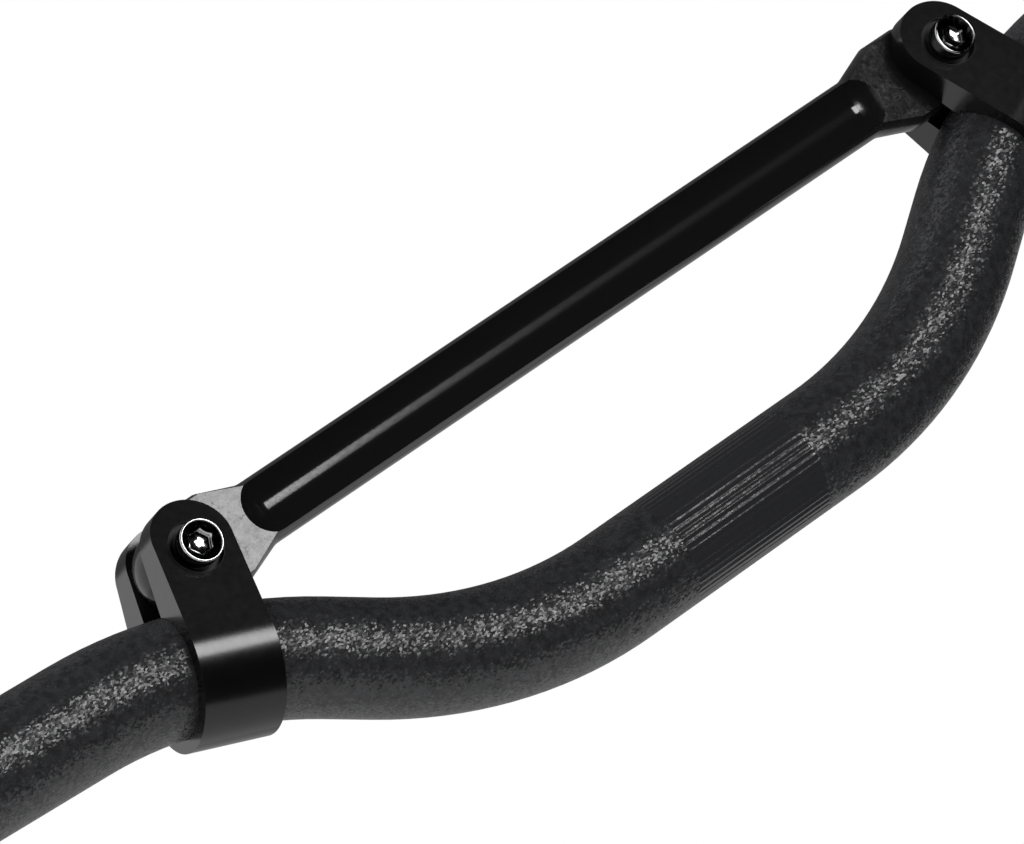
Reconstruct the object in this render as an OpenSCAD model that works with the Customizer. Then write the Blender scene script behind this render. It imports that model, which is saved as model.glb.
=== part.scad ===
// Riser handlebar for downhill riding: one bent tube, braced by a fluted
// crossbar that is bolted between two split clamps.
// The origin is the middle of the stem clamping zone, on the tube's axis.
// X runs along the bar, Z up along the rise, and the rider sits at +Y.

/* [Bent tube] */
// Outer diameter of the tube, the same from end to end
bar_d = 22.2; // [19:0.1:26]
// Wall thickness of the tube
bar_wall = 3; // [1.5:0.1:4]
// Overall width from one open end to the other
bar_width = 780; // [640:5:860]
// Half length of the straight zone that the stem grips
centre_half = 27.8; // [24:0.2:36]
// Centreline radius of the bend that starts the rise
rise_bend_r = 91.4; // [70:0.2:110]
// Angle of the rising stretch above the horizontal
rise_angle = 33.2; // [28:0.2:38]
// Length of the straight stretch between the two bends
rise_straight = 9.7; // [4:0.1:16]
// Centreline radius of the bend back to the grip
shoulder_bend_r = 95.5; // [80:0.5:120]
// Upward slope of the grip stretches
upsweep = 3.1; // [0:0.1:6]
// Chamfer round the open ends of the tube
bar_end_chamfer = 0.6; // [0.2:0.1:1]

/* [Stem zone grooves] */
// Length of the grooved band
groove_len = 35; // [20:1:44]
// Number of grooves round the tube
groove_count = 52; // [24:1:60]
// Width of one groove
groove_w = 0.32; // [0.2:0.02:0.5]
// Depth of one groove
groove_depth = 0.25; // [0.1:0.05:0.5]

/* [Clamps] */
// Distance of each clamp along the shoulder bend from where that bend starts
clamp_arc = 21.8; // [16:0.2:26]
// Wall of the clamp's ring round the tube
ring_wall = 2.85; // [2:0.05:4.5]
// Height of the screw axis above the tube's surface
bolt_rise = 8.7; // [8:0.1:12]
// Thickness of each ear at the screw axis
ear_t = 6.8; // [5:0.1:9]
// Width of the ears where their round tops start, which is also the tops' diameter
ear_w = 15.8; // [13.5:0.1:18]
// How far the centre of the ears' round tops lies beyond the screw axis
ear_top_rise = 1.75; // [0:0.05:3]
// Width of the clamp at the bottom of its ring
strap_w = 16.3; // [14:0.1:20]
// Width of the slot between the two ears
slot_w = 8; // [6:0.1:10]
// Radial clearance between the clamp's bore and the tube
bore_clear = 0.05; // [0.02:0.01:0.2]

/* [Crossbar] */
// Diameter of the round stock between the two lugs
brace_d = 12.9; // [11:0.1:14]
// Side clearance of each lug in its slot
lug_clear = 0.1; // [0.05:0.05:0.3]
// Gap between each lug's round end and the tube below it
lug_gap = 0.5; // [0.3:0.05:1.5]
// Radius to which the stock flares before each lug
flare_r = 9.4; // [8.6:0.1:10.5]
// Distance from the screw axis to where the flare starts
flare_start = 20; // [18:0.2:24]
// Slope of the flare
flare_angle = 19; // [14:0.5:24]
// Radius of the concave fillet at the foot of the flare
flare_fillet = 6; // [3:0.5:9]
// Distance from the screw axis over which the widest part of the flare runs on
flare_land = 3.2; // [2.4:0.1:7]
// How far the back slope of the flare dips inside the lug's round end
flare_dip = 0.6; // [0.3:0.1:1]
// Distance from the screw axis over which the lug's flats run
flat_run = 19.9; // [17:0.1:22]
// Radius of the long flutes in the front and the back
flute_r = 8; // [7:0.1:11]
// Width of a flute's mouth in the plane of the lug's flat
flute_mouth = 11.7; // [8:0.1:12.2]
// Distance from the screw axis to the round end of a flute
flute_inset = 15.6; // [13:0.1:20]

/* [Screws] */
// Thread diameter of the clamp screws
screw_d = 5; // [4:0.5:6]
// Diameter of the screw heads
head_d = 8.5; // [7:0.1:9.5]
// Height of the screw heads
head_h = 5; // [4:0.1:6]
// Width across the flats of the hexagon socket
socket_af = 4; // [3:0.1:5]
// Depth of the hexagon socket
socket_depth = 2.6; // [1.5:0.1:3.5]
// Chamfer round the head's outer edge
head_chamfer = 0.5; // [0.2:0.1:0.8]
// Depth of the counterbore in the front ear
counterbore_depth = 1.5; // [0.5:0.1:3]
// Radial clearance of the counterbore round the head
counterbore_clear = 0.95; // [0.3:0.05:1]
// Radial clearance of the front ear's hole and of the lug's hole round the screw
hole_clear = 0.25; // [0.15:0.05:0.5]
// Radial clearance at the thread in the rear ear
thread_clear = 0.05; // [0.02:0.01:0.1]
// How far the screw's tip stays inside the rear ear
tip_inset = 0.6; // [0.2:0.1:2]

/* [Hidden] */
$fn = 96;
// Overshoot of a cut past the face that it opens
past = 1;
// How far each straight stretch of the tube runs into the bends beside it
lap = 0.2;
// How much fuller a bend is drawn than the straights that run into it
bend_fullness = 0.01;
// How far a straight edge starts inside the round that it leaves
tuck = 0.02;
// Number of short chords that draw the concave fillet
fillet_steps = 5;

// Bent centreline of the right half, as points in the plane of X and Z
bar_r = bar_d / 2;
rise_end = [centre_half + rise_bend_r * sin(rise_angle), rise_bend_r * (1 - cos(rise_angle))];
shoulder_start = rise_end + rise_straight * [cos(rise_angle), sin(rise_angle)];
shoulder_centre = shoulder_start + shoulder_bend_r * [sin(rise_angle), -cos(rise_angle)];
shoulder_end = shoulder_centre + shoulder_bend_r * [-sin(upsweep), cos(upsweep)];
grip_len = (bar_width / 2 - shoulder_end[0]) / cos(upsweep);

// Place of the right clamp on the shoulder bend, and of its screw
bolt_offset = bar_r + bolt_rise;
clamp_angle = rise_angle - clamp_arc / shoulder_bend_r * 180 / PI;
clamp_at = shoulder_centre + shoulder_bend_r * [-sin(clamp_angle), cos(clamp_angle)];
bolt_at = clamp_at + bolt_offset * [-sin(clamp_angle), cos(clamp_angle)];

// Clamp outline: its outer faces run from the ears down to a tangent on the ring
ring_r = bar_r + bore_clear + ring_wall;
ear_half = slot_w / 2 + ear_t;
lean = atan2(bolt_offset, ear_half) - acos(ring_r / norm([ear_half, bolt_offset]));
ear_round_at = bolt_offset + ear_top_rise;
clamp_top = ear_round_at + ear_w / 2;
top_half = ear_half - (clamp_top - bolt_offset) * tan(lean);

// Crossbar
brace_r = brace_d / 2;
lug_half = slot_w / 2 - lug_clear;
lug_end_r = bolt_rise - lug_gap;
flute_axis = lug_half + sqrt(pow(flute_r, 2) - pow(flute_mouth / 2, 2));
flute_half_len = bolt_at[0] - flute_inset - flute_mouth / 2;
fillet_rise = flare_fillet * (1 - cos(flare_angle));
cone_run = (flare_r - brace_r - fillet_rise) / tan(flare_angle);
cone_foot = flare_start - flare_fillet * sin(flare_angle);

// Screws
head_seat = ear_half - counterbore_depth;
shank_len = head_seat + ear_half - tip_inset;
socket_r = socket_af / 2 / cos(30);

// Straight stretch of radius r that starts at a point and slopes up, with a lap into its neighbours
module straight(start, slope, r, back, len) {
    translate([start[0], 0, start[1]]) rotate([0, 90 - slope, 0])
        translate([0, 0, -back]) cylinder(h = back + len, r = r);
}

// Bend of radius r about a centre, from one angle through another
module bend(centre, bend_r, from, through, r) {
    translate([centre[0], 0, centre[1]]) rotate([90, 0, 0]) rotate(from)
        rotate_extrude(angle = through) translate([bend_r, 0]) circle(r + bend_fullness);
}

// Everything of one half beyond the straight centre, as a solid of radius r
module half_bar(r, run_on) {
    bend([centre_half, rise_bend_r], rise_bend_r, -90, rise_angle, r);
    straight(rise_end, rise_angle, r, lap, rise_straight + lap);
    bend(shoulder_centre, shoulder_bend_r, 90 + upsweep, rise_angle - upsweep, r);
    straight(shoulder_end, upsweep, r, lap, grip_len + run_on);
}

// The whole bent centreline as a solid of radius r, run on past both ends
module full_bar(r, run_on) {
    rotate([0, 90, 0]) cylinder(h = 2 * (centre_half + lap), r = r, center = true);
    both_sides() half_bar(r, run_on);
}

// Chamfered ring that ends the grip stretch
module bar_tip() {
    translate([shoulder_end[0], 0, shoulder_end[1]]) rotate([0, 90 - upsweep, 0])
        translate([0, 0, grip_len - bar_end_chamfer])
        cylinder(h = bar_end_chamfer, r1 = bar_r, r2 = bar_r - bar_end_chamfer);
}

// Draws its children on both sides of the middle
module both_sides() {
    children();
    mirror([1, 0, 0]) children();
}

// Bent tube with the band of lengthwise grooves where the stem grips
module riser_bar() {
    color([0.1, 0.1, 0.11]) difference() {
        union() {
            full_bar(bar_r, -bar_end_chamfer);
            both_sides() bar_tip();
        }
        full_bar(bar_r - bar_wall, past);
        for (i = [0:groove_count - 1])
            rotate([i * 360 / groove_count, 0, 0])
                translate([-groove_len / 2, -groove_w / 2, bar_r - groove_depth])
                cube([groove_len, groove_w, groove_depth + past]);
    }
}

// Moves its children from a clamp's own frame to the right clamp's place:
// there X follows the tube and Z points from the tube to the screw
module at_clamp() {
    translate([clamp_at[0], 0, clamp_at[1]]) rotate([0, -clamp_angle, 0]) children();
}

// Clamp blank as seen along the tube: ring and leaning ears
module clamp_end_form() {
    rotate([90, 0, 90]) {
        cylinder(h = 2 * strap_w, r = ring_r, center = true);
        linear_extrude(2 * strap_w, center = true) polygon([
            [tuck - ring_r * cos(lean), ring_r * sin(lean)],
            [ring_r * cos(lean) - tuck, ring_r * sin(lean)],
            [top_half, clamp_top],
            [-top_half, clamp_top],
        ]);
    }
}

// Clamp blank as seen from the front: round top and sides that widen down to the ring
module clamp_front_form() {
    rotate([90, 0, 0]) {
        translate([0, ear_round_at, 0]) cylinder(h = 4 * ring_r, d = ear_w, center = true);
        linear_extrude(4 * ring_r, center = true) polygon([
            [tuck - ear_w / 2, ear_round_at],
            [ear_w / 2 - tuck, ear_round_at],
            [strap_w / 2, -ring_r - past],
            [-strap_w / 2, -ring_r - past],
        ]);
    }
}

// Split clamp of the right side, cut to the bent tube that runs through it
module clamp_right() {
    color([0.07, 0.07, 0.075]) difference() {
        at_clamp() difference() {
            intersection() {
                clamp_end_form();
                clamp_front_form();
            }
            translate([-strap_w, -slot_w / 2, 0]) cube([2 * strap_w, slot_w, clamp_top + past]);
            translate([0, 0, bolt_offset]) rotate([90, 0, 0]) {
                cylinder(h = ear_half + past, r = screw_d / 2 + hole_clear);
                translate([0, 0, head_seat])
                    cylinder(h = counterbore_depth + ear_t, r = head_d / 2 + counterbore_clear);
                mirror([0, 0, 1]) cylinder(h = ear_half + past, r = screw_d / 2 + thread_clear);
            }
        }
        half_bar(bar_r + bore_clear, 0);
    }
}

module clamp_left() {
    mirror([1, 0, 0]) clamp_right();
}

// Outline of the crossbar's right half as a turned body: radius against distance along it
function flare_arc() = [
    for (i = [0:fillet_steps])
        let (a = flare_angle * i / fillet_steps)
        [brace_r + flare_fillet * (1 - cos(a)), bolt_at[0] - flare_start + flare_fillet * sin(a)]
];
function half_outline() = concat(
    flare_arc(),
    [
        [flare_r, bolt_at[0] - cone_foot + cone_run],
        [flare_r, bolt_at[0] - flare_land],
        [lug_end_r - flare_dip, bolt_at[0]],
        [0, bolt_at[0]],
    ]
);
function flipped(points) = [for (i = [len(points) - 1:-1:0]) [points[i][0], -points[i][1]]];

// Turned blank of the crossbar, flared before its two ball-shaped ends
module turned_blank() {
    rotate([0, 90, 0]) rotate_extrude() {
        polygon(concat(half_outline(), flipped(half_outline())));
        for (end = [-1, 1]) intersection() {
            translate([0, end * bolt_at[0]]) circle(lug_end_r);
            translate([0, end * bolt_at[0] - lug_end_r - past]) square(2 * (lug_end_r + past));
        }
    }
}

// Long flute with ball ends, cut into the front of the crossbar
module flute() {
    translate([0, -flute_axis, 0]) rotate([0, 90, 0]) rotate_extrude() intersection() {
        union() {
            square([2 * flute_r, 2 * flute_half_len], center = true);
            for (end = [-1, 1]) translate([0, end * flute_half_len]) circle(flute_r);
        }
        translate([0, -bolt_at[0]]) square(2 * bolt_at[0]);
    }
}

// Turned bar with flat lugs and a flute in the front and in the back
module crossbar() {
    color([0.05, 0.05, 0.055]) translate([0, 0, bolt_at[1]]) difference() {
        turned_blank();
        both_sides() for (side = [-1, 1])
            translate([bolt_at[0] - flat_run, side > 0 ? lug_half : -lug_half - flare_r, -flare_r - past])
                cube([flat_run + lug_end_r + past, flare_r, 2 * (flare_r + past)]);
        flute();
        mirror([0, 1, 0]) flute();
        both_sides() translate([bolt_at[0], 0, 0]) rotate([90, 0, 0])
            cylinder(h = slot_w + 2 * past, r = screw_d / 2 + hole_clear, center = true);
    }
}

// Socket head screw of the right clamp, entered from the front
module screw_right() {
    color([0.75, 0.76, 0.78]) translate([bolt_at[0], 0, bolt_at[1]]) rotate([90, 0, 0])
        translate([0, 0, head_seat]) difference() {
            rotate_extrude() polygon([
                [0, -shank_len],
                [screw_d / 2 - head_chamfer, -shank_len],
                [screw_d / 2, head_chamfer - shank_len],
                [screw_d / 2, 0],
                [head_d / 2, 0],
                [head_d / 2, head_h - head_chamfer],
                [head_d / 2 - head_chamfer, head_h],
                [0, head_h],
            ]);
            translate([0, 0, head_h - socket_depth])
                cylinder(h = socket_depth + past, r = socket_r, $fn = 6);
        }
}

module screw_left() {
    mirror([1, 0, 0]) screw_right();
}

riser_bar();
crossbar();
clamp_left();
clamp_right();
screw_left();
screw_right();
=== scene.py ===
import math

import bmesh
import bpy
import numpy as np
from mathutils import Matrix, Vector


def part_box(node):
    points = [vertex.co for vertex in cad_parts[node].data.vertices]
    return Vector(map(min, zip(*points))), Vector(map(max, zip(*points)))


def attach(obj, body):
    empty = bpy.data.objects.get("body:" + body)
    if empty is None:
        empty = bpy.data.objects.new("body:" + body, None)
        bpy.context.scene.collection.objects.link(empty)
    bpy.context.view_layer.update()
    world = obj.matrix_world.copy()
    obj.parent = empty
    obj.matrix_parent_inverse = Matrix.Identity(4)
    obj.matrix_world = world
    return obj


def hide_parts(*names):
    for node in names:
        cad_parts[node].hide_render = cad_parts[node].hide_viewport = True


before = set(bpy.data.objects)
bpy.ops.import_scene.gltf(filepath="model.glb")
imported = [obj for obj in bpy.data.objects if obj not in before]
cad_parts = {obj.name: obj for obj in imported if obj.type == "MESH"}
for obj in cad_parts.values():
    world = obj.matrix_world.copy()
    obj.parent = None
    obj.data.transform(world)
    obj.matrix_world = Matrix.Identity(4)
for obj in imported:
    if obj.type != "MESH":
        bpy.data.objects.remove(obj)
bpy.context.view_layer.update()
scene = bpy.context.scene
scene.view_settings.view_transform = "Standard"
print("frame loaded:", ", ".join(sorted(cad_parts)))


# the picture's width in pixels, and the camera's place and axes, in metres
cameraSetup = {
    "frameWidth": 1024,
    "lensPixels": 7212,
    "filmWidth": 36.0, "clipStart": 0.05, "clipEnd": 100,
    "place": (-0.701045, -1.144727, -0.084497),
    "right": (0.712598, -0.357542, -0.603629),
    "down": (-0.485168, 0.370351, -0.792118),
    "forward": (0.506770, 0.857324, 0.090444),
}


def makeCamera(setup):
    # a camera looks along its own -Z with +Y up, so the columns are right, up and backward
    lens = bpy.data.cameras.new("studioCamera")
    lens.sensor_width = setup["filmWidth"]
    lens.lens = setup["lensPixels"] / setup["frameWidth"] * setup["filmWidth"]
    lens.clip_start = setup["clipStart"]
    lens.clip_end = setup["clipEnd"]
    holder = bpy.data.objects.new("studioCamera", lens)
    scene.collection.objects.link(holder)
    up, back = ([-v for v in setup[key]] for key in ("down", "forward"))
    axes = Matrix((setup["right"], up, back)).transposed()
    holder.matrix_world = Matrix.Translation(setup["place"]) @ axes.normalized().to_4x4()
    scene.camera = holder


makeCamera(cameraSetup)


# what every piece uses
def meshFromGrid(name, points, closeAcross=False, closeAlong=False):
    # points[i, j] is a grid of places; each cell is one four-sided face that looks along dP/di x dP/dj
    rows, columns = points.shape[:2]
    i = np.arange(rows if closeAlong else rows - 1)[:, None]
    j = np.arange(columns if closeAcross else columns - 1)[None, :]
    nextRow, nextColumn = (i + 1) % rows, (j + 1) % columns
    quads = np.stack((i * columns + j, nextRow * columns + j,
                      nextRow * columns + nextColumn, i * columns + nextColumn), axis=-1)
    mesh = bpy.data.meshes.new(name)
    mesh.from_pydata(points.reshape(-1, 3), [], quads.reshape(-1, 4))
    mesh.shade_smooth()
    return mesh


def addPiece(name, mesh):
    piece = bpy.data.objects.new(name, mesh)
    scene.collection.objects.link(piece)
    return piece


def ridePiece(piece, material, slot, *nodes):
    piece.data.materials.append(material)
    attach(piece, "root")
    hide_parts(*nodes)


# the bent tube
riserBar = {
    "radius": 0.0111, "wall": 0.003, "width": 0.780,
    "centreHalf": 0.0278, "riseBendRadius": 0.0914, "riseAngle": math.radians(33.2),
    "riseStraight": 0.0097, "shoulderBendRadius": 0.0955, "upsweep": math.radians(3.1),
    "endChamfer": 0.0006,
    "grooveLength": 0.035, "grooveCount": 52, "grooveHalfWidth": 0.00055, "grooveDip": 0.00010,
    "grooveColumns": 9, "grooveEndRows": (1, 0.75, 0.5, 0.25, 0.1, 0),
    "bendStep": math.radians(2), "boreStep": 3, "sharpFrom": math.radians(24),
}


def barRuns(bar):
    # lengths and curvatures of the half bar's runs: straight, bend up, straight, bend back, grip
    turnBack = bar["riseAngle"] - bar["upsweep"]
    reach = (bar["centreHalf"] + bar["riseStraight"] * math.cos(bar["riseAngle"])
             + (bar["riseBendRadius"] + bar["shoulderBendRadius"]) * math.sin(bar["riseAngle"])
             - bar["shoulderBendRadius"] * math.sin(bar["upsweep"]))
    grip = (bar["width"] / 2 - reach) / math.cos(bar["upsweep"])
    lengths = (bar["centreHalf"], bar["riseAngle"] * bar["riseBendRadius"], bar["riseStraight"],
               turnBack * bar["shoulderBendRadius"], grip)
    curves = (0, 1 / bar["riseBendRadius"], 0, -1 / bar["shoulderBendRadius"], 0)
    return lengths, curves


def barPath(bar, s):
    # centre line at signed arc length s: x and z add up each run's own arc,
    # (sin(a + kt) - sin a)/k and (cos a - cos(a + kt))/k, or t cos a and t sin a on a straight run
    along = np.abs(s)
    x, z, angle = np.zeros_like(along), np.zeros_like(along), np.zeros_like(along)
    heading = start = 0.0
    for length, curve in zip(*barRuns(bar)):
        t = np.clip(along - start, 0, length)
        if curve:
            x += (np.sin(heading + curve * t) - math.sin(heading)) / curve
            z += (math.cos(heading) - np.cos(heading + curve * t)) / curve
        else:
            x += t * math.cos(heading)
            z += t * math.sin(heading)
        angle += curve * t
        heading += curve * length
        start += length
    side = np.where(s < 0, -1.0, 1.0)
    return side * x, z, side * angle


def barStations(bar):
    # arc lengths of the rings on the right half, closest where the tube bends and where the grooves end
    lengths, curves = barRuns(bar)
    ends = np.cumsum(lengths)
    runs = [np.linspace(end - length, end, max(2, round(length * abs(curve) / bar["bendStep"])) + 1)
            for end, length, curve in zip(ends, lengths, curves)]
    grooveEnds = bar["grooveLength"] / 2 - bar["grooveHalfWidth"] * np.array(bar["grooveEndRows"])
    chamfer = ends[-1] - bar["endChamfer"]
    # rounded to a nanometre, so that two runs share the ring where they meet
    return np.unique(np.round(np.concatenate(runs + [grooveEnds, [chamfer]]), 9))


def grooveShare(bar, s, around):
    # 1 in the middle of a groove and 0 outside: one less the square of the distance to its middle line
    # over its half width, where the line stops a half width short of each round end
    pitch = 2 * math.pi / bar["grooveCount"]
    across = bar["radius"] * (np.mod(around + pitch / 2, pitch) - pitch / 2)
    past = np.clip(np.abs(s) - (bar["grooveLength"] / 2 - bar["grooveHalfWidth"]), 0, None)
    away = np.hypot(past[:, None], across[None, :]) / bar["grooveHalfWidth"]
    return np.clip(1 - away ** 2, 0, 1)


def makeRiserBar(bar):
    # rings around the bent centre line: outside from end to end, then back through the bore; a ring's
    # point is the centre plus its radius times cos of the angle along the path's normal and sin along Y
    half = barStations(bar)
    reach = half[-1]
    outer = np.concatenate((-half[:0:-1], half))
    inner = np.concatenate(([reach], outer[::-1][1:-1:bar["boreStep"]], [-reach]))
    pitch = 2 * math.pi / bar["grooveCount"]
    edge = bar["grooveHalfWidth"] / bar["radius"]
    offsets = np.concatenate((edge * np.linspace(-1, 1, bar["grooveColumns"]), [pitch / 2]))
    around = (np.arange(bar["grooveCount"])[:, None] * pitch + offsets[None, :]).ravel()
    s = np.concatenate((outer, inner))
    radius = np.full(len(s), bar["radius"] - bar["wall"])
    radius[:len(outer)] = bar["radius"] - np.clip(np.abs(outer) - (reach - bar["endChamfer"]), 0, None)
    grooved = grooveShare(bar, s, around)
    grooved[len(outer):] = 0
    ring = radius[:, None] - bar["grooveDip"] * grooved
    x, z, angle = barPath(bar, s)
    up = ring * np.cos(around)[None, :]
    points = np.stack((x[:, None] - up * np.sin(angle)[:, None],
                       ring * np.sin(around)[None, :],
                       z[:, None] + up * np.cos(angle)[:, None]), axis=-1)
    mesh = meshFromGrid("riserTube", points, closeAcross=True, closeAlong=True)
    zone = np.clip((bar["grooveLength"] / 2 - np.abs(s)) / bar["grooveHalfWidth"], 0, 1)
    zone[len(outer):] = 0
    smooth = np.repeat(zone, len(around))
    mesh.attributes.new("grooveZone", "FLOAT", "POINT").data.foreach_set("value", smooth)
    mesh.set_sharp_from_angle(angle=bar["sharpFrom"])
    return addPiece("riserTube", mesh)


# the clamps and the crossbar keep their solids' shapes, with real edges
machined = {
    "merge": 1e-7, "cornerMerge": 1e-6, "flatWithin": math.radians(0.3), "sharpFrom": math.radians(32),
    "clampEdge": 0.0003, "crossbarEdge": 0.00025, "edgeSteps": 3,
}


def dressedCopy(node, name, edge, how):
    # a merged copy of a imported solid, its flat faces joined up and its edges rounded
    form = bmesh.new()
    form.from_mesh(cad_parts[node].data)
    bmesh.ops.remove_doubles(form, verts=form.verts, dist=how["merge"])
    bmesh.ops.dissolve_limit(form, angle_limit=how["flatWithin"], verts=form.verts, edges=form.edges)
    form.verts.index_update()
    mesh = bpy.data.meshes.new(name)
    mesh.from_pydata([v.co for v in form.verts], [], [[v.index for v in f.verts] for f in form.faces])
    form.free()
    mesh.shade_smooth()
    mesh.set_sharp_from_angle(angle=how["sharpFrom"])
    piece = addPiece(name, mesh)
    bevel = piece.modifiers.new("edges", "BEVEL")
    bevel.width = edge
    bevel.segments = how["edgeSteps"]
    bevel.limit_method = "ANGLE"
    bevel.angle_limit = how["sharpFrom"]
    bevel.harden_normals = True
    # the rounding can leave two corners on one spot, which would open the mesh, so they are joined
    weld = piece.modifiers.new("corners", "WELD")
    weld.merge_threshold = how["cornerMerge"]
    return piece


# the socket screws
clampScrew = {
    "headRadius": 0.00425, "headLength": 0.005, "shankRadius": 0.0025,
    "rimRadius": 0.00020, "rimInner": 0.00372, "dish": 0.00090,
    "socketHalf": 0.002, "socketDepth": 0.0022, "socketCone": 0.0001,
    "threadPitch": 0.0008, "threadDepth": 0.00045, "threadLength": 0.013, "tipChamfer": 0.0006,
    "socketBevel": 0.0001, "floorShare": 0.9, "mouthFlare": 1.06,
    "dishFlare": 1.35, "dishShare": 0.6, "dishHexagonal": 0.3,
    "columns": 96, "rowsPerTurn": 6, "roundRows": 6, "poleMerge": 1e-7, "sharpFrom": math.radians(35),
}


def screwProfile(screw, length):
    # rows from the socket's floor out over the head and down to the tip: depth behind the head's face,
    # radius, how hexagonal the row is (1 in the socket) and how much thread it carries
    arc = np.linspace(0, math.pi / 2, screw["roundRows"])
    bead = screw["rimRadius"]
    rimRows = [(bead - bead * math.sin(a), screw["rimInner"] + bead - bead * math.cos(a), 0, 0)
               for a in arc]
    edgeRadius = screw["headRadius"] - screw["rimInner"] - bead
    edgeRows = [(edgeRadius - edgeRadius * math.cos(a),
                 screw["rimInner"] + bead + edgeRadius * math.sin(a), 0, 0) for a in arc[1:]]
    floor, mouth, half = screw["socketDepth"], screw["dish"], screw["socketHalf"]
    bevel = screw["socketBevel"]
    head = [(floor + screw["socketCone"], 0, 1, 0), (floor, half * screw["floorShare"], 1, 0),
            (floor - bevel, half, 1, 0), (mouth + bevel, half, 1, 0),
            (mouth, half * screw["mouthFlare"], 1, 0),
            (mouth * screw["dishShare"], half * screw["dishFlare"], screw["dishHexagonal"], 0)]
    start = length - screw["threadLength"]
    count = round(screw["threadLength"] / screw["threadPitch"] * screw["rowsPerTurn"])
    shank = [(screw["headLength"], screw[key], 0, 0) for key in ("headRadius", "shankRadius")]
    thread = [(t, screw["shankRadius"] - max(0, t - length + screw["tipChamfer"]), 0,
               min(1, (t - start) / screw["threadPitch"])) for t in np.linspace(start, length, count)]
    return np.array(head + rimRows + edgeRows + shank + thread + [(length, 0, 0, 0)])


def makeScrew(name, node, screw):
    # a turned form: radius times cos and sin of the angle, made hexagonal in the socket by the
    # half width over the cosine of the angle from the nearest flat, and threaded by a triangle wave
    low, high = (np.array(corner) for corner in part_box(node))
    middle = (low + high) / 2
    depth, radius, hexagonal, threaded = screwProfile(screw, high[1] - low[1]).T
    angle = np.arange(screw["columns"]) * 2 * math.pi / screw["columns"]
    hexRadius = 1 / np.cos(np.mod(angle, math.pi / 3) - math.pi / 6)
    shape = 1 + hexagonal[:, None] * (hexRadius - 1)[None, :]
    turn = np.mod(depth[:, None] / screw["threadPitch"] - angle[None, :] / (2 * math.pi), 1)
    cut = screw["threadDepth"] * threaded[:, None] * np.abs(2 * turn - 1)
    ring = np.clip(radius[:, None] * shape - cut, 0, None)
    points = np.stack((middle[0] + ring * np.cos(angle)[None, :],
                       np.broadcast_to(low[1] + depth[:, None], ring.shape),
                       middle[2] + ring * np.sin(angle)[None, :]), axis=-1)
    grid = meshFromGrid(name, points, closeAcross=True)
    form = bmesh.new()
    form.from_mesh(grid)
    bmesh.ops.remove_doubles(form, verts=form.verts, dist=screw["poleMerge"])  # closes the two poles
    bmesh.ops.recalc_face_normals(form, faces=form.faces)
    form.to_mesh(grid)
    form.free()
    grid.shade_smooth()
    grid.set_sharp_from_angle(angle=screw["sharpFrom"])
    return addPiece(name, grid)


# shader groups that several finishes share
def newGroup(name, inputs, outputs):
    group = bpy.data.node_groups.new(name, "ShaderNodeTree")
    for label, kind in inputs:
        group.interface.new_socket(name=label, in_out="INPUT", socket_type="NodeSocket" + kind)
    for label, kind in outputs:
        group.interface.new_socket(name=label, in_out="OUTPUT", socket_type="NodeSocket" + kind)
    return group, group.nodes.new("NodeGroupInput"), group.nodes.new("NodeGroupOutput")


def addNode(tree, kind, settings=None, **links):
    # places a node; settings are its own properties or plain socket values, links feed its sockets
    node = tree.nodes.new("ShaderNode" + kind)
    for key, value in (settings or {}).items():
        if hasattr(node, key):
            setattr(node, key, value)
        else:
            node.inputs[key].default_value = value
    for key, source in links.items():
        socket = int(key[1:]) if key[0] == "_" else key.replace("_", " ")
        tree.links.new(source, node.inputs[socket])
    return node


def makeGrainGroup():
    # fine grain, rescaled to run from Low to High, and slow clouds from 0 to 1
    group, given, result = newGroup(
        "surfaceGrain",
        [("Vector", "Vector"), ("Scale", "Float"), ("Cloud Scale", "Float"),
         ("Low", "Float"), ("High", "Float")],
        [("Value", "Float"), ("Cloud", "Float")])
    grain = addNode(group, "TexNoise", {"Detail": 3.0, "Roughness": 0.6},
                    Vector=given.outputs["Vector"], Scale=given.outputs["Scale"])
    cloud = addNode(group, "TexNoise", {"Detail": 2.0},
                    Vector=given.outputs["Vector"], Scale=given.outputs["Cloud Scale"])
    spread = addNode(group, "MapRange", {"From Min": 0.3, "From Max": 0.7}, Value=grain.outputs["Fac"],
                     To_Min=given.outputs["Low"], To_Max=given.outputs["High"])
    clouds = addNode(group, "MapRange", {"From Min": 0.35, "From Max": 0.65}, Value=cloud.outputs["Fac"])
    group.links.new(spread.outputs["Result"], result.inputs["Value"])
    group.links.new(clouds.outputs["Result"], result.inputs["Cloud"])
    return group


def makeFacetGroup():
    # small flat facets: each cell turns the surface's normal by its own random amount
    group, given, result = newGroup(
        "facetTilt",
        [("Vector", "Vector"), ("Scale", "Float"), ("Tilt", "Float")], [("Normal", "Vector")])
    cells = addNode(group, "TexVoronoi", Vector=given.outputs["Vector"], Scale=given.outputs["Scale"])
    centred = addNode(group, "VectorMath", {"operation": "SUBTRACT"}, _0=cells.outputs["Color"])
    centred.inputs[1].default_value = (0.5, 0.5, 0.5)  # a cell's random colour runs from 0 to 1
    tilted = addNode(group, "VectorMath", {"operation": "SCALE"}, _0=centred.outputs["Vector"],
                     Scale=given.outputs["Tilt"])
    surface = addNode(group, "NewGeometry")
    turned = addNode(group, "VectorMath", {"operation": "ADD"}, _0=surface.outputs["Normal"],
                     _1=tilted.outputs["Vector"])
    unit = addNode(group, "VectorMath", {"operation": "NORMALIZE"}, _0=turned.outputs["Vector"])
    group.links.new(unit.outputs["Vector"], result.inputs["Normal"])
    return group


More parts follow.
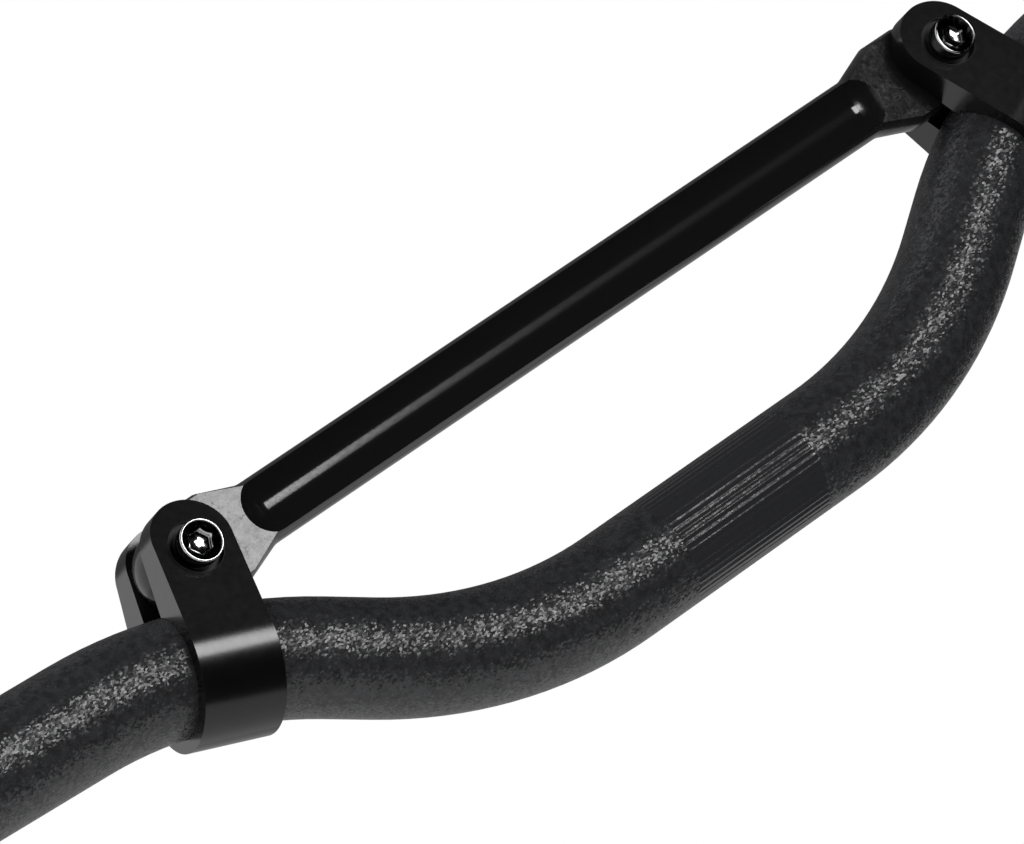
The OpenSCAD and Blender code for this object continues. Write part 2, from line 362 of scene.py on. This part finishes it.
def makeMarksGroup():
    # thin wandering handling marks: 1 where a slow noise passes its middle value, and 0 elsewhere
    group, given, result = newGroup(
        "handlingMarks",
        [("Vector", "Vector"), ("Scale", "Float"), ("Width", "Float")], [("Mask", "Float")])
    noise = addNode(group, "TexNoise", {"Detail": 3.0, "Roughness": 0.55, "Distortion": 0.6},
                    Vector=given.outputs["Vector"], Scale=given.outputs["Scale"])
    offset = addNode(group, "Math", {"operation": "SUBTRACT"}, _0=noise.outputs["Fac"])
    offset.inputs[1].default_value = 0.5  # the noise's middle value
    away = addNode(group, "Math", {"operation": "ABSOLUTE"}, _0=offset.outputs["Value"])
    line = addNode(group, "MapRange", {"To Min": 1.0, "To Max": 0.0}, Value=away.outputs["Value"],
                   From_Max=given.outputs["Width"])
    group.links.new(line.outputs["Result"], result.inputs["Mask"])
    return group


grainGroup = makeGrainGroup()
facetGroup = makeFacetGroup()
marksGroup = makeMarksGroup()


def newMaterial(name):
    material = bpy.data.materials.new(name)
    material.use_nodes = True
    tree = material.node_tree
    tree.nodes.clear()
    output = addNode(tree, "OutputMaterial")
    shader = addNode(tree, "BsdfPrincipled")
    tree.links.new(shader.outputs["BSDF"], output.inputs["Surface"])
    return material, tree, shader, addNode(tree, "TexCoord").outputs["Object"]


def useGroup(tree, group, settings, **links):
    node = tree.nodes.new("ShaderNodeGroup")
    node.node_tree = group
    for key, value in settings.items():
        node.inputs[key].default_value = value
    for key, source in links.items():
        tree.links.new(source, node.inputs[key.replace("_", " ")])
    return node


def useGrain(tree, place, finish):
    return useGroup(tree, grainGroup, {
        "Scale": finish["grainScale"], "Cloud Scale": finish["cloudScale"],
        "Low": finish["roughLow"], "High": finish["roughHigh"]}, Vector=place)


def useMarks(tree, place, finish):
    return useGroup(tree, marksGroup, {"Scale": finish["markScale"], "Width": finish["markWidth"]},
                    Vector=place)


def blendColours(tree, mask, first, second):
    # the first colour where the mask is 0 and the second where it is 1; each may be a colour or a
    # node's output
    mix = addNode(tree, "Mix", {"data_type": "RGBA"})
    for place, colour in ((6, first), (7, second)):
        if isinstance(colour, tuple):
            mix.inputs[place].default_value = (*colour, 1)
        else:
            tree.links.new(colour, mix.inputs[place])
    tree.links.new(mask, mix.inputs[0])
    return mix.outputs[2]


def blendValues(tree, mask, first, second):
    # as blendColours, for numbers; each may be a number or a node's output
    mix = addNode(tree, "Mix")
    for place, value in ((2, first), (3, second)):
        if isinstance(value, (int, float)):
            mix.inputs[place].default_value = value
        else:
            tree.links.new(value, mix.inputs[place])
    tree.links.new(mask, mix.inputs[0])
    return mix.outputs[0]


barFinish = {
    "dark": (0.0205, 0.0207, 0.0222), "light": (0.0345, 0.0352, 0.0385),
    "groove": (0.0270, 0.0274, 0.0296), "grooveRough": 0.17, "grooveTilt": 0.04,
    "facetScale": 2900.0, "facetStretch": (0.62, 1.0, 1.0), "facetTilt": 0.36,
    "grainScale": 2200.0, "cloudScale": 620.0, "roughLow": 0.21, "roughHigh": 0.36,
}


def makeBarCoat(finish):
    # a dark glittering coat of tiny facets, smooth in the grooves
    material, tree, shader, place = newMaterial("barCoat")
    smooth = addNode(tree, "Attribute", {"attribute_name": "grooveZone"}).outputs["Fac"]
    grain = useGrain(tree, place, finish)
    coat = blendColours(tree, grain.outputs["Cloud"], finish["dark"], finish["light"])
    tree.links.new(blendColours(tree, smooth, coat, finish["groove"]), shader.inputs["Base Color"])
    tree.links.new(blendValues(tree, smooth, grain.outputs["Value"], finish["grooveRough"]),
                   shader.inputs["Roughness"])
    along = addNode(tree, "Mapping", {"Scale": finish["facetStretch"]}, Vector=place)
    facets = useGroup(tree, facetGroup, {"Scale": finish["facetScale"]}, Vector=along.outputs["Vector"],
                      Tilt=blendValues(tree, smooth, finish["facetTilt"], finish["grooveTilt"]))
    tree.links.new(facets.outputs["Normal"], shader.inputs["Normal"])
    return material


clampFinish = {
    "dark": (0.0040, 0.0040, 0.0042), "light": (0.0052, 0.0052, 0.0055),
    "grainScale": 700.0, "cloudScale": 120.0, "roughLow": 0.185, "roughHigh": 0.215,
    "facetScale": 4000.0, "facetTilt": 0.008,
    "seatAxis": (0.09859, 0, 0.04858), "seatRadius": 0.0053, "seatRough": 0.6,
}


def seatMask(tree, place, finish):
    # 1 inside the counterbores: within their radius of a screw's axis, the same on both sides
    parts = addNode(tree, "SeparateXYZ", _0=place)
    across = addNode(tree, "Math", {"operation": "ABSOLUTE"}, _0=parts.outputs["X"])
    flat = addNode(tree, "CombineXYZ", X=across.outputs["Value"], Z=parts.outputs["Z"])
    away = addNode(tree, "VectorMath", {"operation": "DISTANCE"}, _0=flat.outputs["Vector"])
    away.inputs[1].default_value = finish["seatAxis"]
    inside = addNode(tree, "Math", {"operation": "LESS_THAN"}, _0=away.outputs["Value"])
    inside.inputs[1].default_value = finish["seatRadius"]
    return inside.outputs["Value"]


def makeClampBlack(finish):
    # satin black with a faint uneven sheen
    material, tree, shader, place = newMaterial("clampBlack")
    grain = useGrain(tree, place, finish)
    tree.links.new(blendColours(tree, grain.outputs["Cloud"], finish["dark"], finish["light"]),
                   shader.inputs["Base Color"])
    seat = seatMask(tree, place, finish)
    tree.links.new(blendValues(tree, seat, grain.outputs["Value"], finish["seatRough"]),
                   shader.inputs["Roughness"])
    facets = useGroup(tree, facetGroup, {"Scale": finish["facetScale"], "Tilt": finish["facetTilt"]},
                      Vector=place)
    tree.links.new(facets.outputs["Normal"], shader.inputs["Normal"])
    return material


braceFinish = {
    "gloss": (0.0085, 0.0085, 0.0090), "glossRough": 0.095, "glossTilt": 0.004,
    "land": (0.008, 0.008, 0.0084), "landRough": 0.19, "landTilt": 0.030,
    "landFrom": 0.0785, "landHalfThickness": 0.00405,
    "markColour": (0.004, 0.004, 0.004), "markScale": 130.0, "markWidth": 0.007, "markRough": 0.10,
    "grainScale": 900.0, "cloudScale": 420.0,
    "roughLow": -0.035, "roughHigh": 0.055,  # added to landRough
    "facetScale": 2600.0,
}


def landMask(tree, place, finish):
    # 1 on the flat sides of the lugs: near an end of the bar, and no further from its middle plane
    # than the lug's half thickness
    parts = addNode(tree, "SeparateXYZ", _0=place)
    sides = []
    for axis, limit, test in (("X", finish["landFrom"], "GREATER_THAN"),
                              ("Y", finish["landHalfThickness"], "LESS_THAN")):
        size = addNode(tree, "Math", {"operation": "ABSOLUTE"}, _0=parts.outputs[axis])
        test = addNode(tree, "Math", {"operation": test}, _0=size.outputs["Value"])
        test.inputs[1].default_value = limit
        sides.append(test.outputs["Value"])
    return addNode(tree, "Math", {"operation": "MULTIPLY"}, _0=sides[0], _1=sides[1]).outputs["Value"]


def makeBraceBlack(finish):
    # gloss black, with matt and faintly scratched flats at the ends
    material, tree, shader, place = newMaterial("braceBlack")
    land = landMask(tree, place, finish)
    grain = useGrain(tree, place, finish)
    marks = useMarks(tree, place, finish)
    landColour = blendColours(tree, marks.outputs["Mask"], finish["land"], finish["markColour"])
    tree.links.new(blendColours(tree, land, finish["gloss"], landColour), shader.inputs["Base Color"])
    uneven = addNode(tree, "Math", {"operation": "MULTIPLY_ADD"}, _0=marks.outputs["Mask"],
                     _2=grain.outputs["Value"])
    uneven.inputs[1].default_value = finish["markRough"]
    landRough = addNode(tree, "Math", {"operation": "ADD"}, _0=uneven.outputs["Value"])
    landRough.inputs[1].default_value = finish["landRough"]
    tree.links.new(blendValues(tree, land, finish["glossRough"], landRough.outputs["Value"]),
                   shader.inputs["Roughness"])
    facets = useGroup(tree, facetGroup, {"Scale": finish["facetScale"]}, Vector=place,
                      Tilt=blendValues(tree, land, finish["glossTilt"], finish["landTilt"]))
    tree.links.new(facets.outputs["Normal"], shader.inputs["Normal"])
    return material


screwFinish = {
    "bright": (0.62, 0.62, 0.63), "dull": (0.48, 0.48, 0.49),
    "grainScale": 1500.0, "cloudScale": 500.0, "roughLow": 0.05, "roughHigh": 0.12,
    "markScale": 600.0, "markWidth": 0.02, "markRough": 0.12,
}


def makeScrewSteel(finish):
    # plated steel with faint clouds and hair lines
    material, tree, shader, place = newMaterial("screwSteel")
    shader.inputs["Metallic"].default_value = 1.0
    grain = useGrain(tree, place, finish)
    marks = useMarks(tree, place, finish)
    tree.links.new(blendColours(tree, grain.outputs["Cloud"], finish["bright"], finish["dull"]),
                   shader.inputs["Base Color"])
    rough = addNode(tree, "Math", {"operation": "MULTIPLY_ADD"}, _0=marks.outputs["Mask"],
                    _2=grain.outputs["Value"])
    rough.inputs[1].default_value = finish["markRough"]
    tree.links.new(rough.outputs["Value"], shader.inputs["Roughness"])
    return material


# the pieces in place
ridePiece(makeRiserBar(riserBar), makeBarCoat(barFinish), "bar_coat", "riser_bar")
print("tube made")
clampBlack = makeClampBlack(clampFinish)
screwSteel = makeScrewSteel(screwFinish)
for side in ("left", "right"):
    clamp = dressedCopy("clamp_" + side, "clamp" + side.title(), machined["clampEdge"], machined)
    ridePiece(clamp, clampBlack, "clamp_black", "clamp_" + side)
    screwPiece = makeScrew("screw" + side.title(), "screw_" + side, clampScrew)
    ridePiece(screwPiece, screwSteel, "screw_steel", "screw_" + side)
crossbar = dressedCopy("crossbar", "crossbarBody", machined["crossbarEdge"], machined)
ridePiece(crossbar, makeBraceBlack(braceFinish), "brace_black", "crossbar")
print("clamps, screws and crossbar made")


# the studio: one bright box in front, a soft sheet above, and cards that only reflections see, with white
# beyond them;
# the cards are painted reflections: black round the front for painted dark reflection, and glowing on the
# far side for painted bright reflection
studio = {
    "boxAim": (-0.098, -0.012, 0.045), "boxAzimuth": 22.6, "boxElevation": 4.5, "boxDistance": 1.2,
    "boxWidth": 0.46, "boxHeight": 0.36, "boxPower": 6.4,
    "sheetHeight": 1.8, "sheetSize": 2.2, "sheetPower": 13.0,
    "ambient": 0.68, "floorHeight": -0.22, "floorHalf": 12.0, "floorColour": (0.8, 0.8, 0.8),
    "cardColumns": 42,
    # black cards: painted dark reflection round the front
    "frontCards": {"from": -45.0, "to": 125.0,
                   "profile": ((0.10, -0.20), (2.4, -0.20), (2.4, 1.5), (0.45, 2.3))},
    "backCard": {"from": 110.0, "to": 192.0, "profile": ((2.4, 0.10), (2.4, 1.5), (0.45, 2.3))},
    # a faint glow with no lamp: painted bright reflection on the far side, high up
    "backReflectionGlow": 0.12,
    "lowCard": {"from": 105.0, "to": 188.0, "profile": ((0.25, -0.20), (2.38, -0.20), (2.38, 0.08))},
    # a stronger glow with no lamp: painted pale reflection on the far side, low down
    "lowReflectionGlow": 0.45,
}


def addLamp(name, aim, direction, distance, width, height, power):
    # a rectangular lamp that faces the aim from the given direction
    light = bpy.data.lights.new(name, "AREA")
    light.shape = "RECTANGLE"
    light.size, light.size_y, light.energy = width, height, power
    holder = bpy.data.objects.new(name, light)
    scene.collection.objects.link(holder)
    away = Vector(direction).normalized()
    turn = away.to_track_quat("Z", "Y").to_matrix().to_4x4()
    holder.matrix_world = Matrix.Translation(Vector(aim) + away * distance) @ turn
    return holder


def plainMaterial(name, colour, roughness, specular, glow=0.0):
    # one colour all over, with a white glow where one is given
    material, _, shader, _ = newMaterial(name)
    shader.inputs["Base Color"].default_value = (*colour, 1)
    shader.inputs["Roughness"].default_value = roughness
    shader.inputs["Specular IOR Level"].default_value = specular
    shader.inputs["Emission Color"].default_value = (1, 1, 1, 1)
    shader.inputs["Emission Strength"].default_value = glow
    return material


def makePaleFloor(colour):
    # pale from above, and clear from below, so that the underside can be looked at
    material = plainMaterial("paleFloor", colour, 1.0, 0.0)
    tree = material.node_tree
    output = next(node for node in tree.nodes if node.type == "OUTPUT_MATERIAL")
    shader = next(node for node in tree.nodes if node.type == "BSDF_PRINCIPLED")
    side = addNode(tree, "NewGeometry").outputs["Backfacing"]
    clear = addNode(tree, "BsdfTransparent").outputs["BSDF"]
    both = addNode(tree, "MixShader", _0=side, _1=shader.outputs["BSDF"], _2=clear)
    tree.links.new(both.outputs["Shader"], output.inputs["Surface"])
    return material


azimuth, elevation = (math.radians(studio[key]) for key in ("boxAzimuth", "boxElevation"))
level = math.cos(elevation)
box = addLamp(
    "frontBox", studio["boxAim"],
    (math.sin(azimuth) * level, -math.cos(azimuth) * level, math.sin(elevation)),
    studio["boxDistance"], studio["boxWidth"], studio["boxHeight"], studio["boxPower"])
# the box gives the highlights, and the even light comes from the sheet and the world
box.visible_diffuse = False
sheet = addLamp(
    "topSheet", (0, 0, 0), (0, 0, 1), studio["sheetHeight"],
    studio["sheetSize"], studio["sheetSize"], studio["sheetPower"])
sheet.visible_glossy = False

corners = np.array((-1.0, 1.0)) * studio["floorHalf"]
floorX, floorY = np.meshgrid(corners, corners, indexing="ij")
floorPoints = np.stack((floorX, floorY, np.full((2, 2), studio["floorHeight"])), axis=-1)
floor = addPiece("studioFloor", meshFromGrid("studioFloor", floorPoints))
floor.data.materials.append(makePaleFloor(studio["floorColour"]))


def addCards(name, card, material):
    # a card for reflections only, a painted reflection: a profile of distance and height, carried round
    # the object, so that a point stands at distance times sin and minus cos of the angle
    angles = np.radians(np.linspace(card["from"], card["to"], studio["cardColumns"]))
    out, height = np.array(card["profile"])[:, :, None].transpose(1, 0, 2)
    points = np.stack((out * np.sin(angles), -out * np.cos(angles),
                       np.broadcast_to(height, (len(height), len(angles)))), axis=-1)
    cards = addPiece(name, meshFromGrid(name, points))
    cards.data.materials.append(material)
    for ray in ("camera", "diffuse", "transmission", "volume_scatter", "shadow"):
        setattr(cards, "visible_" + ray, False)


# painted reflections: the black cards paint dark reflections, and the two glowing cards paint bright ones
for name, finish, glow in (("frontCards", "paintedDarkReflection", 0.0),
                           ("backCard", "paintedFaintReflection", studio["backReflectionGlow"]),
                           ("lowCard", "paintedPaleReflection", studio["lowReflectionGlow"])):
    addCards(name, studio[name], plainMaterial(finish, (0, 0, 0), 1.0, 0.0, glow))


def makeWorld(ambient):
    # white to the camera and in reflections, and a soft even light on surfaces
    world = bpy.data.worlds.new("studioWorld")
    world.use_nodes = True
    tree = world.node_tree
    tree.nodes.clear()
    rays = addNode(tree, "LightPath").outputs
    seen = addNode(tree, "Math", {"operation": "ADD"}, _0=rays["Is Camera Ray"], _1=rays["Is Glossy Ray"])
    shown = addNode(tree, "Math", {"operation": "ADD", "use_clamp": True}, _0=seen.outputs["Value"],
                    _1=rays["Is Transmission Ray"])
    strength = addNode(tree, "MapRange", {"To Min": ambient}, Value=shown.outputs["Value"])
    white = addNode(tree, "Background", Strength=strength.outputs["Result"])
    white.inputs["Color"].default_value = (1, 1, 1, 1)
    addNode(tree, "OutputWorld", Surface=white.outputs["Background"])
    scene.world = world


makeWorld(studio["ambient"])
print("studio made")
